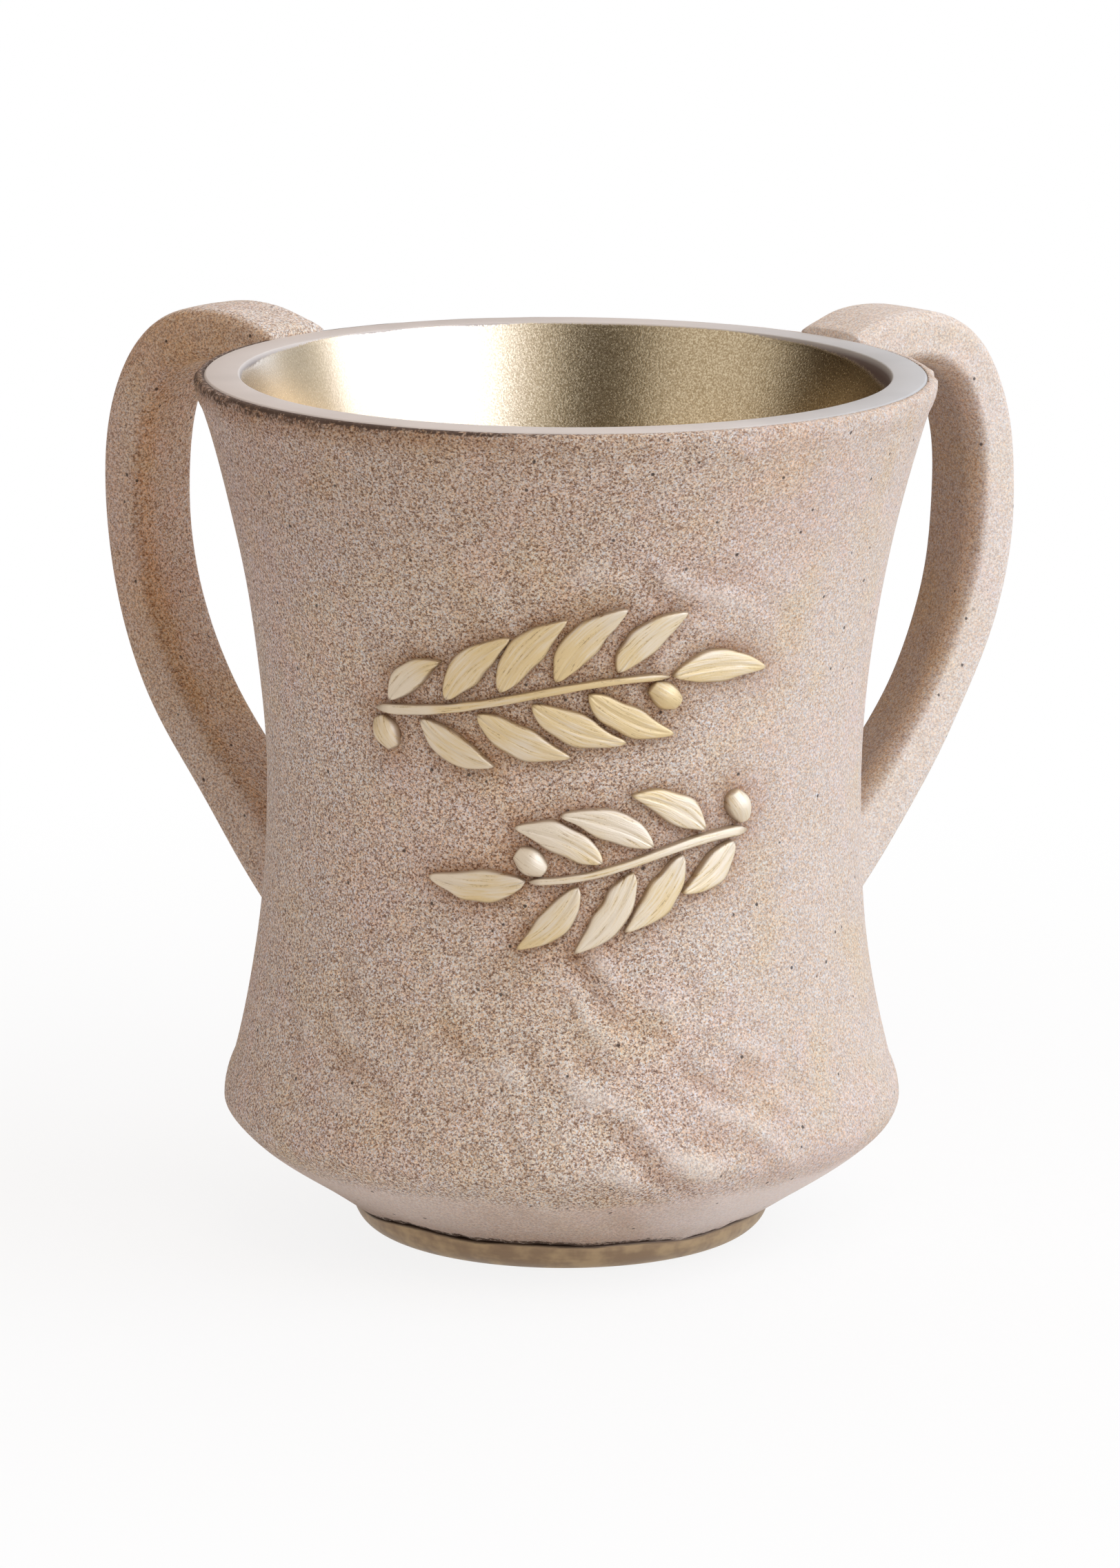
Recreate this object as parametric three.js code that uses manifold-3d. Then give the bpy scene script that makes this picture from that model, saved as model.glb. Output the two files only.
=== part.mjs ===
// A two-handled cup for ritual hand washing, cast in stone-filled resin.
// The flared stone shell holds a smooth liner with a flat rim, stands on a foot ring with a soft pad,
// carries two swept-back strap handles on tenons, and has two olive sprigs in raised relief on its front.
// Millimetres, +Z up, the front of the cup towards -Y, the origin on the cup's axis where it stands.

import * as THREE from "three";
import { mergeVertices } from "three/addons/utils/BufferGeometryUtils.js";
import Module from "manifold-3d";

const wasm = await Module();
wasm.setup();

// Shell
const rimHeight = 136.5; // the flat rim face above the table
const rimRadius = 56.2; // outer edge of the flat rim face
const lipRoll = 1.8; // how far the stone lip swells out past the rim face
const lipDrop = 2.1; // from the rim face down to the lip's widest point
const lipShoulder = 0.7; // from the rim face down to the top of the lip
const throatInset = 1.4; // from the lip's widest point in to the end of the flare
const throatDrop = 5; // from the rim face down to the end of the flare
const waistRadius = 46.7;
const waistHeight = 71.5;
const bulgeRadius = 53.5;
const bulgeHeight = 21.6;
const hipInset = 1.5; // from the bulge in to the foot of the flare
const hipRise = 5.9; // from the bulge up to the foot of the flare
const upperFlarePower = 1.85;
const lowerFlarePower = 2.25;
const shellWall = 5.6;
const neckOutShare = 0.47; // pulls of the bowl's curve, as shares of the way from the neck to the bulge
const neckRiseShare = 0.34;
const bulgePullShare = 0.74;

// Foot
const footRadius = 33; // widest point of the foot ring, at its top
const footHeight = 4.8;
const footRounding = 4.8; // how far the ring draws in from its top to its bottom
const ringWall = 4.4; // thickness of the ring where it stands
const padThickness = 1.3;
const padStandOff = 0.3; // how far the pad stands below the foot ring

// Liner
const linerWall = 1.6;
const flangeThickness = 1.6;
const flangeBevel = 0.35;
const cupFloorHeight = 12.5; // the liner's inner floor above the table
const cupFloorCorner = 14; // rounding between the liner's wall and floor
const linerDraft = 1.6; // how much the liner narrows from the waist to its floor

// Handles
const handleRise = 3.5; // crown of the handles above the rim face
const handleProjection = 36.7; // from the rim face's edge out to the handle's outer face
const reachDrop = 28.5; // from the rim face down to the handle's widest reach
const crownOut = 12.4; // from the rim face's edge out to the handle's crown
const handleThickness = 8.5;
const handleWidth = 14.2;
const handleCorner = 3;
const handleSweep = 40.5; // degrees that each handle is swept behind the cup's side
const rootInset = 4.7; // how far inside the wall the handle's centre line ends
const upperRootDrop = 7.9; // from the rim face down to the upper root
const lowerRootHeight = 36;
const upperRootAngle = 36; // degrees above level
const lowerRootAngle = 47;
const upperRootPullShare = 0.42; // pulls of the handle's curves, as shares of the way to their next joint
const crownPullShare = 0.46;
const shoulderPullShare = 0.67;
const fallPullShare = 0.37;
const lowerRootPullShare = 0.52;

// Tenons that hold the handles in the shell
const tenonDepth = 3; // into the shell
const tenonGrip = 2; // how far the tenon shows inside the handle's end
const tenonWidth = 7;
const tenonHeight = 4;
const tenonCorner = 1.2;
const upperTenonDrop = 5.7; // from the rim face down to the upper tenon's middle

// Relief, laid out on the front wall as if it were unrolled
const reliefHeight = 1;
const reliefEdgeShare = 0.62; // height of a strip's edge, as a share of its crown
const leafLength = 15;
const leafWidth = 5.1;
const leafGap = 0.8; // least gap between two leaves on the same side
const leafCurl = 1.1; // sideways bow of a leaf's middle
const leafSpread = 37; // degrees between a leaf and its stem
const leafTipShare = 0.1; // width of a leaf's blunt ends, as a share of its full width
const leafBellyPower = 0.85; // below 1 a leaf is widest nearer its foot
const stemWidth = 1.6;
const stemTaperShare = 0.4; // how much the stem thins towards its tip
const oliveLength = 5.4;
const oliveWidth = 4.2;
const oliveHeight = 1.8;
const oliveSpread = 62; // degrees between the olive at a sprig's foot and its stem
const oliveEndShare = 0.45; // an olive's width and height at its ends
const sprigWave = 3.2; // rise and fall of a stem about its height
const stemBendShare = 0.4; // where along its span a stem starts to rise
const sprigsHeight = 10.5; // middle of the two sprigs above the waist
const upperSprigPlace = 0; // middle of each sprig to the right of the cup's axis
const lowerSprigPlace = 4;
const upperLeafShares = [0.72, 0.86, 0.94, 1, 1, 1, 1, 0.96, 0.88]; // leaf lengths, from foot to tip
const lowerLeafShares = [0.75, 0.88, 0.97, 1, 1, 0.95, 0.88];

// Clearances and fineness
const seatGap = 0.3;
const overrun = 20;
const turnSteps = 48;
const flareSteps = 8;
const hipSteps = 2;
const cornerSteps = 4;
const handleSteps = 26;
const sectionSteps = 2;
const leafSteps = 6;
const oliveSteps = 4;
const stemSteps = 12;

// Sizes that follow from the ones above
const lipRadius = rimRadius + lipRoll;
const throatRadius = lipRadius - throatInset;
const throatHeight = rimHeight - throatDrop;
const hipRadius = bulgeRadius - hipInset;
const hipHeight = bulgeHeight + hipRise;
const neckHeight = footHeight + seatGap;
const spigotRadius = footRadius - footRounding - ringWall;
const shellFloor = padThickness + seatGap;

const stoneLook = new THREE.MeshStandardMaterial({ color: 0xb8a291, roughness: 0.9, metalness: 0 });
const handleLook = new THREE.MeshStandardMaterial({ color: 0xb39a86, roughness: 0.9, metalness: 0 });
const linerLook = new THREE.MeshStandardMaterial({ color: 0xc9b489, roughness: 0.38, metalness: 0.9 });
const footLook = new THREE.MeshStandardMaterial({ color: 0xa08a60, roughness: 0.5, metalness: 0.7 });
const padLook = new THREE.MeshStandardMaterial({ color: 0x4b4038, roughness: 1, metalness: 0 });
const reliefLook = new THREE.MeshStandardMaterial({ color: 0xe0cfa6, roughness: 0.55, metalness: 0.4 });

const { degToRad, lerp } = THREE.MathUtils;

// Radius of the shell's waisted wall at a height: two power curves that meet at the waist.
function wallRadius(height) {
  if (height >= waistHeight) {
    const rise = (height - waistHeight) / (throatHeight - waistHeight);
    return waistRadius + (throatRadius - waistRadius) * rise ** upperFlarePower;
  }
  const fall = Math.min((waistHeight - height) / (waistHeight - hipHeight), 1);
  return waistRadius + (hipRadius - waistRadius) * fall ** lowerFlarePower;
}

// Even values from one to another, both ends included.
function even(first, last, steps) {
  return Array.from({ length: steps + 1 }, (_, i) => lerp(first, last, i / steps));
}

function flat(x, y) {
  return new THREE.Vector2(x, y);
}

// A solid turned about +Z from a closed [radius, height] outline.
function turned(outline) {
  const points = outline.map(([radius, height]) => flat(radius, height));
  return new THREE.LatheGeometry(points, turnSteps).rotateX(Math.PI / 2);
}

// A closed three.js geometry as a manifold-3d solid.
function solidFrom(geometry) {
  const bare = geometry.clone();
  bare.deleteAttribute("normal");
  bare.deleteAttribute("uv");
  const merged = mergeVertices(bare);
  return new wasm.Manifold(
    new wasm.Mesh({
      numProp: 3,
      vertProperties: merged.attributes.position.array,
      triVerts: new Uint32Array(merged.index.array),
    }),
  );
}

// A manifold-3d solid as a three.js geometry.
function geometryFrom(solid) {
  const mesh = solid.getMesh();
  const geometry = new THREE.BufferGeometry();
  geometry.setAttribute("position", new THREE.BufferAttribute(mesh.vertProperties, mesh.numProp));
  geometry.setIndex(new THREE.BufferAttribute(mesh.triVerts, 1));
  geometry.computeVertexNormals();
  return geometry;
}

// The outside of the shell from the neck to the top of the lip, standing off by an offset.
function shellOutside(offset) {
  const bowl = new THREE.CubicBezierCurve(
    flat(footRadius, neckHeight),
    flat(lerp(footRadius, bulgeRadius, neckOutShare), lerp(neckHeight, bulgeHeight, neckRiseShare)),
    flat(bulgeRadius, lerp(neckHeight, bulgeHeight, bulgePullShare)),
    flat(bulgeRadius, bulgeHeight),
  );
  const hip = new THREE.QuadraticBezierCurve(
    flat(bulgeRadius, bulgeHeight),
    flat(bulgeRadius, (bulgeHeight + hipHeight) / 2),
    flat(hipRadius, hipHeight),
  );
  const flare = [
    ...even(hipHeight, waistHeight, flareSteps).slice(1),
    ...even(waistHeight, throatHeight, flareSteps).slice(1),
  ].map((height) => flat(wallRadius(height), height));
  const lip = new THREE.CubicBezierCurve(
    flat(throatRadius, throatHeight),
    flat(lipRadius, rimHeight - lipDrop),
    flat(lipRadius, rimHeight - lipShoulder),
    flat(rimRadius + 2 * seatGap, rimHeight - lipShoulder),
  );
  return [
    ...bowl.getPoints(flareSteps),
    ...hip.getPoints(hipSteps).slice(1),
    ...flare,
    ...lip.getPoints(cornerSteps).slice(1),
  ].map((point) => [point.x + offset, point.y]);
}

// One face of the liner from under the flange down to the axis, at a depth behind the shell's outside.
function linerFace(depth, top, floor, corner) {
  const foot = waistRadius - depth - linerDraft;
  const wall = even(top, waistHeight, flareSteps).map((height) => [wallRadius(height) - depth, height]);
  const round = even(0, Math.PI / 2, cornerSteps).map((turn) => [
    foot - corner + corner * Math.cos(turn),
    floor + corner - corner * Math.sin(turn),
  ]);
  return [...wall, ...round, [0, floor]];
}

// The liner's outside, or the bore that it sits in where a clearance is given.
function linerOutside(clearance) {
  return linerFace(
    shellWall + seatGap - clearance,
    rimHeight - flangeThickness - clearance,
    cupFloorHeight - linerWall - clearance,
    cupFloorCorner + linerWall + clearance,
  );
}

function makeShell() {
  const outline = [
    [0, shellFloor],
    [spigotRadius, shellFloor],
    [spigotRadius, neckHeight],
    ...shellOutside(0),
    [rimRadius + seatGap, rimHeight - lipShoulder],
    [rimRadius + seatGap, rimHeight - flangeThickness - seatGap],
    ...linerOutside(seatGap),
  ];
  const sockets = [-1, 1].flatMap((side) =>
    tenonCentres().map((centre) => tenon(centre, seatGap).rotate([0, 0, handleTurn(side)])),
  );
  const body = sockets.reduce((solid, socket) => solid.subtract(socket), solidFrom(turned(outline)));
  return geometryFrom(body);
}

function makeLiner() {
  const inside = linerFace(shellWall + seatGap + linerWall, rimHeight, cupFloorHeight, cupFloorCorner);
  return turned([
    ...linerOutside(0).reverse(),
    [rimRadius, rimHeight - flangeThickness],
    [rimRadius, rimHeight - flangeBevel],
    [rimRadius - flangeBevel, rimHeight],
    ...inside,
  ]);
}

function makeFootRing() {
  const bore = spigotRadius + seatGap;
  const rounding = even(0, Math.PI / 2, cornerSteps).map((turn) => [
    footRadius - footRounding + footRounding * Math.sin(turn),
    footHeight - (footHeight - padStandOff) * Math.cos(turn),
  ]);
  return turned([[bore, padStandOff], ...rounding, [bore, footHeight], [bore, padStandOff]]);
}

function makePad() {
  return turned([
    [0, 0],
    [spigotRadius, 0],
    [spigotRadius, padThickness],
    [0, padThickness],
  ]);
}

// A rounded rectangle about the origin.
function roundedRectangle(width, height, corner) {
  const x = width / 2 - corner;
  const y = height / 2 - corner;
  const quarter = Math.PI / 2;
  return new THREE.Shape()
    .absarc(x, y, corner, 0, quarter, false)
    .absarc(-x, y, corner, quarter, 2 * quarter, false)
    .absarc(-x, -y, corner, 2 * quarter, 3 * quarter, false)
    .absarc(x, -y, corner, 3 * quarter, 4 * quarter, false);
}

// A handle's centre line in its own upright plane, along +X: root, crown, widest reach, root.
function handleLine() {
  const at = (radius, height) => new THREE.Vector3(radius, 0, height);
  const along = (degrees, pull) => at(Math.cos(degToRad(degrees)) * pull, Math.sin(degToRad(degrees)) * pull);
  const rootAt = (height) => at(wallRadius(height) - rootInset, height);
  const top = rootAt(rimHeight - upperRootDrop);
  const crown = at(rimRadius + crownOut, rimHeight + handleRise - handleThickness / 2);
  const reach = at(rimRadius + handleProjection - handleThickness / 2, rimHeight - reachDrop);
  const bottom = rootAt(lowerRootHeight);
  const fall = reach.z - bottom.z;
  const line = new THREE.CurvePath();
  line.add(
    new THREE.CubicBezierCurve3(
      top,
      top.clone().add(along(upperRootAngle, (crown.x - top.x) * upperRootPullShare)),
      at(lerp(crown.x, top.x, crownPullShare), crown.z),
      crown,
    ),
  );
  line.add(
    new THREE.CubicBezierCurve3(
      crown,
      at(lerp(crown.x, reach.x, shoulderPullShare), crown.z),
      at(reach.x, lerp(reach.z, crown.z, shoulderPullShare)),
      reach,
    ),
  );
  line.add(
    new THREE.CubicBezierCurve3(
      reach,
      at(reach.x, reach.z - fall * fallPullShare),
      bottom.clone().add(along(lowerRootAngle, fall * lowerRootPullShare)),
      bottom,
    ),
  );
  return line;
}

// Heights of the two tenons, the lower one where the handle's centre line comes out of the wall.
function tenonCentres() {
  return [rimHeight - upperTenonDrop, lowerRootHeight + rootInset * Math.tan(degToRad(lowerRootAngle))];
}

// One tenon along +X, or its socket where a clearance is given.
function tenon(centre, clearance) {
  const shape = roundedRectangle(
    tenonWidth + 2 * clearance,
    tenonHeight + 2 * clearance,
    tenonCorner + clearance,
  );
  const block = new THREE.ExtrudeGeometry(shape, {
    depth: tenonDepth + clearance + tenonGrip,
    bevelEnabled: false,
    curveSegments: sectionSteps,
  });
  block.rotateX(Math.PI / 2).rotateZ(Math.PI / 2);
  return solidFrom(block.translate(wallRadius(centre) - tenonDepth - clearance, 0, centre));
}

// Degrees from +X to a handle's plane: side 1 is on the right of the front, -1 on the left.
function handleTurn(side) {
  return side > 0 ? handleSweep : 180 - handleSweep;
}

// A handle along +X, its ends trimmed to the shell with the seat gap, with its two tenons.
function makeHandle() {
  const strap = new THREE.ExtrudeGeometry(roundedRectangle(handleWidth, handleThickness, handleCorner), {
    steps: handleSteps,
    curveSegments: sectionSteps,
    extrudePath: handleLine(),
  });
  const cup = turned([
    [0, 0],
    [footRadius, 0],
    ...shellOutside(seatGap),
    [rimRadius + 2 * seatGap, rimHeight + overrun],
    [0, rimHeight + overrun],
  ]);
  const trimmed = solidFrom(strap).subtract(solidFrom(cup));
  const tenons = tenonCentres().map((centre) => tenon(centre, 0));
  return geometryFrom(tenons.reduce((solid, next) => solid.add(next), trimmed));
}

// A closed solid through a row of rings with the same number of points, each end closed by a fan.
function lofted(rings) {
  const count = rings[0].length;
  const faces = [];
  for (let start = 0; start < (rings.length - 1) * count; start += count) {
    for (let j = 0; j < count; j += 1) {
      const here = start + j;
      const next = start + ((j + 1) % count);
      faces.push(here, here + count, next, next, here + count, next + count);
    }
  }
  const last = (rings.length - 1) * count;
  for (let j = 1; j < count - 1; j += 1) {
    faces.push(0, j, j + 1, last, last + j + 1, last + j);
  }
  const geometry = new THREE.BufferGeometry();
  geometry.setAttribute("position", new THREE.Float32BufferAttribute(rings.flat(2), 3));
  geometry.setIndex(faces);
  geometry.computeVertexNormals();
  return geometry;
}

// A point on the unrolled front wall, raised off it: across runs to the right, height from the table.
function onWall(across, height, raised) {
  const radius = wallRadius(height) + raised;
  const angle = across / waistRadius;
  return [radius * Math.sin(angle), -radius * Math.cos(angle), height];
}

// A relief strip along a flat line, its half width and crown height given for each share of its length.
function reliefStrip(line, steps, halfWidth, crown) {
  const rings = even(0, 1, steps).map((share) => {
    const centre = line.getPoint(share);
    const tangent = line.getTangent(share);
    const at = (side, raised) => {
      const out = side * halfWidth(share);
      return onWall(centre.x - tangent.y * out, centre.y + tangent.x * out, seatGap + raised);
    };
    const top = crown(share);
    const edge = top * reliefEdgeShare;
    return [at(-1, 0), at(-1, edge), at(0, top), at(1, edge), at(1, 0)];
  });
  return lofted(rings);
}

// Distance along a stem between two leaves on the same side.
function leafPitch() {
  return (leafWidth + leafGap) / Math.sin(degToRad(leafSpread));
}

// A stem on the unrolled wall with room for a number of leaves, growing right (1) or left (-1).
function stemLine(place, height, leaves, direction) {
  const span = (leafPitch() * leaves) / 2;
  const middle = place - (direction * leafLength) / 2;
  const x = (share) => middle + direction * span * (share - 1 / 2);
  return new THREE.CubicBezierCurve(
    flat(x(0), height - direction * sprigWave),
    flat(x(stemBendShare), height - direction * sprigWave),
    flat(x(1 - stemBendShare), height + direction * sprigWave),
    flat(x(1), height + direction * sprigWave),
  );
}

// The curled centre line of a leaf or an olive.
function bladeLine(start, heading, length, curl) {
  const bow = flat(-heading.y, heading.x).multiplyScalar(2 * curl);
  return new THREE.QuadraticBezierCurve(
    start,
    start.clone().addScaledVector(heading, length / 2).add(bow),
    start.clone().addScaledVector(heading, length),
  );
}

// The centre line of a blade that stands off one side (1 or -1) of its stem.
function sideBlade(stem, place, side, spread, length, curl) {
  const tangent = stem.getTangent(place);
  const outward = flat(-tangent.y, tangent.x).multiplyScalar(side);
  const start = stem.getPoint(place).addScaledVector(outward, stemWidth / 2 + 2 * seatGap);
  const heading = tangent.rotateAround(flat(0, 0), side * degToRad(spread));
  return bladeLine(start, heading, length, side * curl);
}

function leafStrip(line, lengthShare) {
  const half = (leafWidth / 2) * Math.sqrt(lengthShare);
  const width = (share) => half * lerp(Math.sin(Math.PI * share ** leafBellyPower), 1, leafTipShare);
  return reliefStrip(line, leafSteps, width, () => reliefHeight);
}

function oliveStrip(line) {
  const round = (share) => lerp(Math.sin(Math.PI * share), 1, oliveEndShare);
  return reliefStrip(
    line,
    oliveSteps,
    (share) => (oliveWidth / 2) * round(share),
    (share) => oliveHeight * round(share),
  );
}

function stemStrip(line) {
  const half = (share) => (stemWidth / 2) * (1 - stemTaperShare * share);
  return reliefStrip(line, stemSteps, half, () => reliefHeight);
}

const washingCup = new THREE.Group();

function addPiece(name, geometry, look, turn = 0) {
  const mesh = new THREE.Mesh(geometry, look);
  mesh.name = name;
  mesh.rotation.z = degToRad(turn);
  washingCup.add(mesh);
}

// A sprig: a stem with an olive at its foot, leaves on alternate sides, and a leaf at its tip.
function addSprig(name, stem, leafShares) {
  addPiece(`${name}_stem`, stemStrip(stem), reliefLook);
  const places = even(0, 1, leafShares.length + 1);
  const footOlive = sideBlade(stem, 0, -1, oliveSpread, oliveLength, 0);
  addPiece(`${name}_olive_1`, oliveStrip(footOlive), reliefLook);
  leafShares.forEach((share, i) => {
    const side = i % 2 ? -1 : 1;
    const place = places[i + 1] - places[1] / 2;
    const line = sideBlade(stem, place, side, leafSpread, leafLength * share, leafCurl);
    addPiece(`${name}_leaf_${i + 1}`, leafStrip(line, share), reliefLook);
  });
  const last = leafShares.length % 2 ? -1 : 1;
  const tipOlive = sideBlade(stem, 1 - places[1] / 2, last, leafSpread, oliveLength, 0);
  addPiece(`${name}_olive_2`, oliveStrip(tipOlive), reliefLook);
  const heading = stem.getTangent(1);
  const tipStart = stem.getPoint(1).addScaledVector(heading, 2 * seatGap);
  const tipLeaf = leafStrip(bladeLine(tipStart, heading, leafLength, leafCurl), 1);
  addPiece(`${name}_tip_leaf`, tipLeaf, reliefLook);
}

addPiece("cup_shell", makeShell(), stoneLook);
addPiece("cup_liner", makeLiner(), linerLook);
addPiece("foot_ring", makeFootRing(), footLook);
addPiece("base_pad", makePad(), padLook);
addPiece("handle_left", makeHandle(), handleLook, handleTurn(-1));
addPiece("handle_right", makeHandle(), handleLook, handleTurn(1));

const sprigRise = leafLength * Math.sin(degToRad(leafSpread)) + (leafWidth + stemWidth) / 2 + seatGap;
const sprigsMiddle = waistHeight + sprigsHeight;
const upperStem = stemLine(upperSprigPlace, sprigsMiddle + sprigRise, upperLeafShares.length, 1);
const lowerStem = stemLine(lowerSprigPlace, sprigsMiddle - sprigRise, lowerLeafShares.length, -1);
addSprig("upper_sprig", upperStem, upperLeafShares);
addSprig("lower_sprig", lowerStem, lowerLeafShares);

export default washingCup;
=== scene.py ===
import math

import bpy
import numpy as np
from mathutils import Matrix, Vector


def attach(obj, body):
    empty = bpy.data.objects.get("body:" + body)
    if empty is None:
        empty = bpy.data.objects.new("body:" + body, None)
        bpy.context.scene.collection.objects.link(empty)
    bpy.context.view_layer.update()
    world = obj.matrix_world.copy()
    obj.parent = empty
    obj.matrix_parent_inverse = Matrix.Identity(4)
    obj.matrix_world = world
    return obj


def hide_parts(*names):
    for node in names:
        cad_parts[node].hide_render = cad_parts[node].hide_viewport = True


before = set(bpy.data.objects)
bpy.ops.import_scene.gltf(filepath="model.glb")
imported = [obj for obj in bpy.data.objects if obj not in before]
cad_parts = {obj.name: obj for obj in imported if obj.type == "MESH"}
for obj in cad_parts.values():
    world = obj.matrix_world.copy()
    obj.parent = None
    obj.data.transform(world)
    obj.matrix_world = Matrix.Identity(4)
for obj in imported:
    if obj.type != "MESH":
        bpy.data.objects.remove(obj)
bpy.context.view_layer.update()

# A two-handled washing cup in speckled stone resin, gold inside, with two olive sprigs on its front.
# Shapes are worked out in mm and become metres where their mesh is made. +Z is up, the front is -Y.
print("frame loaded with", len(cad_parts), "nodes")

# Heights above the table and radii in mm
cup = {
    "rimHeight": 136.5, "rimRadius": 56.2, "lipRadius": 58.0, "lipDrop": 2.1, "lipShoulder": 0.15,
    "throatRadius": 56.6, "throatHeight": 131.5, "waistRadius": 46.7, "waistHeight": 71.5,
    "hipRadius": 52.0, "hipHeight": 27.5, "bulgeRadius": 53.5, "bulgeHeight": 21.6,
    "bowlPulls": (0.47, 0.34, 0.74), "neckRadius": 33.0, "neckHeight": 5.1, "upperFlarePower": 1.85,
    "lowerFlarePower": 2.25, "reliefBand": (56, 106),
}


# Helpers for shapes

# A point on a Bezier curve: each control point times its Bernstein share of t
def bezier(t, *pulls):
    t = np.asarray(t, float)[..., None]
    last = len(pulls) - 1
    return sum(
        math.comb(last, k) * t**k * (1 - t) ** (last - k) * np.asarray(pull, float)
        for k, pull in enumerate(pulls)
    )


# Radius of the waisted wall: the waist's, plus powers of the rise above it and of the fall below it
def wallRadius(height):
    rise = np.clip((height - cup["waistHeight"]) / (cup["throatHeight"] - cup["waistHeight"]), 0, None)
    fall = np.clip((cup["waistHeight"] - height) / (cup["waistHeight"] - cup["hipHeight"]), 0, 1)
    flare = (cup["throatRadius"] - cup["waistRadius"]) * rise ** cup["upperFlarePower"]
    spread = (cup["hipRadius"] - cup["waistRadius"]) * fall ** cup["lowerFlarePower"]
    return cup["waistRadius"] + flare + spread


# The shell's outside as (radius, height) rows: bowl, hip, wall with close rows at the relief, lip
def shellOutside():
    neck, bulge = (cup["neckRadius"], cup["neckHeight"]), (cup["bulgeRadius"], cup["bulgeHeight"])
    width, rise = bulge[0] - neck[0], bulge[1] - neck[1]
    pull, (low, high), top = cup["bowlPulls"], cup["reliefBand"], cup["rimHeight"]
    bowl = bezier(
        np.linspace(0, 1, 34), neck, (neck[0] + pull[0] * width, neck[1] + pull[1] * rise),
        (bulge[0], neck[1] + pull[2] * rise), bulge,
    )
    hip = bezier(
        np.linspace(0, 1, 7), bulge, (bulge[0], (bulge[1] + cup["hipHeight"]) / 2),
        (cup["hipRadius"], cup["hipHeight"]),
    )
    heights = np.concatenate([
        np.linspace(cup["hipHeight"], low, 27), np.linspace(low, high, 112)[1:],
        np.linspace(high, cup["throatHeight"], 18)[1:],
    ])
    lip = bezier(
        np.linspace(0, 1, 18), (cup["throatRadius"], cup["throatHeight"]),
        (cup["lipRadius"], top - cup["lipDrop"]), (cup["lipRadius"], top - cup["lipShoulder"]),
        (cup["rimRadius"] + 0.5, top - cup["lipShoulder"]),
    )
    wall = np.stack([wallRadius(heights), heights], 1)
    return np.vstack([bowl, hip[1:], wall[1:], lip[1:]])


# An open line with each corner cut back by a small ease, so that it shades crisply
def eased(line, ease):
    line = np.asarray(line, float)
    step = np.diff(line, axis=0)
    step /= np.linalg.norm(step, axis=1, keepdims=True)
    cut = np.stack([line[1:-1] - ease * step[:-1], line[1:-1] + ease * step[1:]], 1).reshape(-1, 2)
    return np.vstack([line[:1], cut, line[-1:]])


# A (radius, height) line turned about +Z: x = r cos a, y = r sin a, z = h for every angle a
def turned(line, angles):
    radius, height = line[:, 0, None], line[:, 1, None]
    return np.stack([radius * np.cos(angles), radius * np.sin(angles), height + 0 * angles], -1)


# Unevenness of hand work: plane waves of about one length in random directions, summed to about 1
def unevenness(points, length, seed, waves=20):
    dice = np.random.default_rng(seed)
    ways = dice.normal(size=(waves, 3))
    ways /= np.linalg.norm(ways, axis=1, keepdims=True)
    ways *= 2 * math.pi / (length * dice.uniform(0.75, 1.5, (waves, 1)))
    starts = dice.uniform(0, 2 * math.pi, waves)
    return np.cos(points @ ways.T + starts).sum(-1) * math.sqrt(2 / waves)


# 0 at low, 1 at high and 3 s^2 - 2 s^3 at the share s between. Low may be the greater number.
def smooth(low, high, value):
    share = np.clip((value - low) / (high - low), 0, 1)
    return share * share * (3 - 2 * share)


# 1 at 0 and exp(-(value / width)^2) to both sides
def bell(value, width):
    return np.exp(-((value / width) ** 2))


def added(name, data):
    made = bpy.data.objects.new(name, data)
    bpy.context.scene.collection.objects.link(made)
    return made


# A piece from points in metres, faces, and masks with a value for each point
def pieceOf(name, slot, nodes, points, faces, masks):
    mesh = bpy.data.meshes.new(name)
    mesh.from_pydata(points.tolist(), [], faces)
    mesh.polygons.foreach_set("use_smooth", np.ones(len(mesh.polygons), bool))
    for label, values in masks.items():
        layer = mesh.attributes.new(label, "FLOAT", "POINT")
        layer.data.foreach_set("value", values.astype(np.float32))
    mesh.materials.append(finishes[slot])
    piece = added(name, mesh)
    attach(piece, "root")
    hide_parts(*nodes)
    return piece


# A grid's points or values, then the middle of its first row and that of its last
def withMiddles(grid):
    return np.concatenate([grid.reshape(-1, *grid.shape[2:]), grid[:1].mean(1), grid[-1:].mean(1)])


# A closed piece from a grid in mm that goes round along its columns. A fan closes each end row, and the faces
# are turned about if their volume comes out negative.
def makePiece(name, grid, slot, nodes, masks=None, uv=None):
    rows, columns = grid.shape[:2]
    points = withMiddles(grid) * 0.001
    near = np.arange(rows * columns).reshape(rows, columns)
    far = np.roll(near, -1, 1)
    quads = np.stack([near[:-1], far[:-1], far[1:], near[1:]], -1).reshape(-1, 4)
    under, over = rows * columns, rows * columns + 1
    fans = np.vstack([
        np.stack([far[0], near[0], np.full(columns, under)], -1),
        np.stack([near[-1], far[-1], np.full(columns, over)], -1),
    ])
    corners = points[np.vstack([quads[:, :3], quads[:, [0, 2, 3]], fans])]
    if np.einsum("ij,ij->i", corners[:, 0], np.cross(corners[:, 1], corners[:, 2])).sum() < 0:
        quads, fans = quads[:, ::-1], fans[:, ::-1]
    ended = {label: withMiddles(values) for label, values in (masks or {}).items()}
    piece = pieceOf(name, slot, nodes, points, quads.tolist() + fans.tolist(), ended)
    if uv is not None:
        loops = np.empty(len(piece.data.loops), np.int32)
        piece.data.loops.foreach_get("vertex_index", loops)
        places = withMiddles(uv)[loops].astype(np.float32)
        piece.data.uv_layers.new(name="stroke").uv.foreach_set("vector", places.ravel())
    return piece


# Helpers for finishes

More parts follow.
